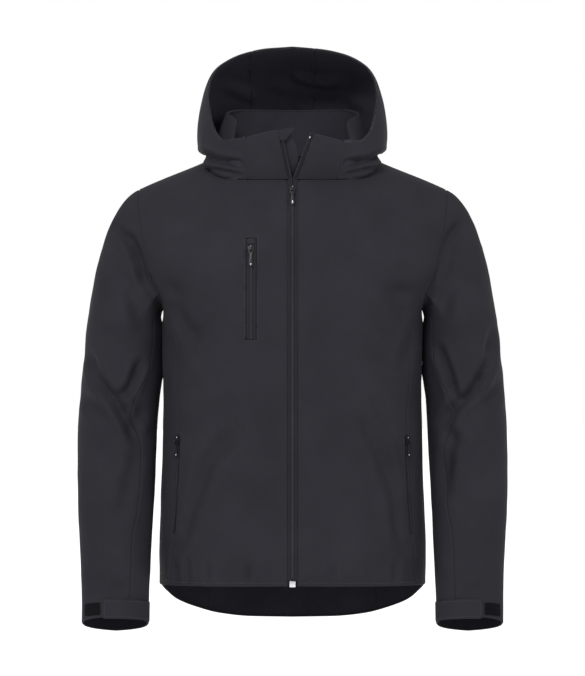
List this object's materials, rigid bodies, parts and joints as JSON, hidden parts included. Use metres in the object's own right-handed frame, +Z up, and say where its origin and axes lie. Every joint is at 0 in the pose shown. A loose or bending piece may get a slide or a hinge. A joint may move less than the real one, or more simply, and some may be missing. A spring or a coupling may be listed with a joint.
{
  "type": "hooded softshell jacket",
  "caption": "Dark grey hooded softshell jacket, filled out as if worn, with a front zip, a vertical chest zip and tabbed cuffs",
  "frame": {"origin": "at the base of the neck, on the middle line, level with the place where the shoulder seams meet the collar", "axes": "+Z up, the front faces -Y, +X to the wearer's left"},
  "size_m": [0.6754, 0.2877, 0.9151],
  "materials": {
    "softshell": "matte bonded softshell cloth",
    "collar_cloth": "brushed inner face of the cloth",
    "zip_tape": "flat woven tape with a moulded coil",
    "loop_fastener": "napped loop fastener",
    "zip_hardware": "satin dark lacquer",
    "zip_box_metal": "polished bright metal"
  },
  "bodies": {
    "garment": {"front_right": "softshell", "front_left": "softshell", "side_right": "softshell", "side_left": "softshell", "back": "softshell", "sleeve_upper_right": "softshell", "sleeve_upper_left": "softshell", "sleeve_under_right": "softshell", "sleeve_under_left": "softshell", "collar_front_right": "softshell", "collar_front_left": "softshell", "hood_side_right": "softshell", "hood_centre": "softshell", "hood_side_left": "softshell", "wind_flap": "softshell", "chin_guard": "softshell", "chest_garage": "softshell", "cuff_tab_right": "softshell", "cuff_tab_left": "softshell", "collar": "collar_cloth", "zip_tape_right": "zip_tape", "zip_tape_left": "zip_tape", "chest_zip": "zip_tape", "pocket_zip_right": "zip_tape", "pocket_zip_left": "zip_tape", "cuff_loop_right": "loop_fastener", "cuff_loop_left": "loop_fastener", "zip_slider": "zip_hardware", "chest_slider": "zip_hardware", "pocket_right_slider": "zip_hardware", "pocket_left_slider": "zip_hardware", "zip_box": "zip_box_metal"},
    "zip_pull": {"zip_pull": "zip_hardware"},
    "chest_pull": {"chest_pull": "zip_hardware"},
    "pocket_right_pull": {"pocket_right_pull": "zip_hardware"},
    "pocket_left_pull": {"pocket_left_pull": "zip_hardware"}
  },
  "joints": [
    {"name": "zip_pull_hinge", "type": "hinge", "parent": "garment", "child": "zip_pull", "pos_m": [0.00013, -0.09422, -0.05445], "axis": [-1, 0, 0], "range_deg": [0, 150]},
    {"name": "chest_pull_hinge", "type": "hinge", "parent": "garment", "child": "chest_pull", "pos_m": [-0.06341, -0.12232, -0.14712], "axis": [-1, 0, 0], "range_deg": [0, 150]},
    {"name": "pocket_right_pull_hinge", "type": "hinge", "parent": "garment", "child": "pocket_right_pull", "pos_m": [-0.17983, -0.07027, -0.44095], "axis": [-0.6564, 0.7544, 0], "range_deg": [0, 150]},
    {"name": "pocket_left_pull_hinge", "type": "hinge", "parent": "garment", "child": "pocket_left_pull", "pos_m": [0.17983, -0.07027, -0.44095], "axis": [-0.6568, -0.7541, 0], "range_deg": [0, 150]}
  ]
}
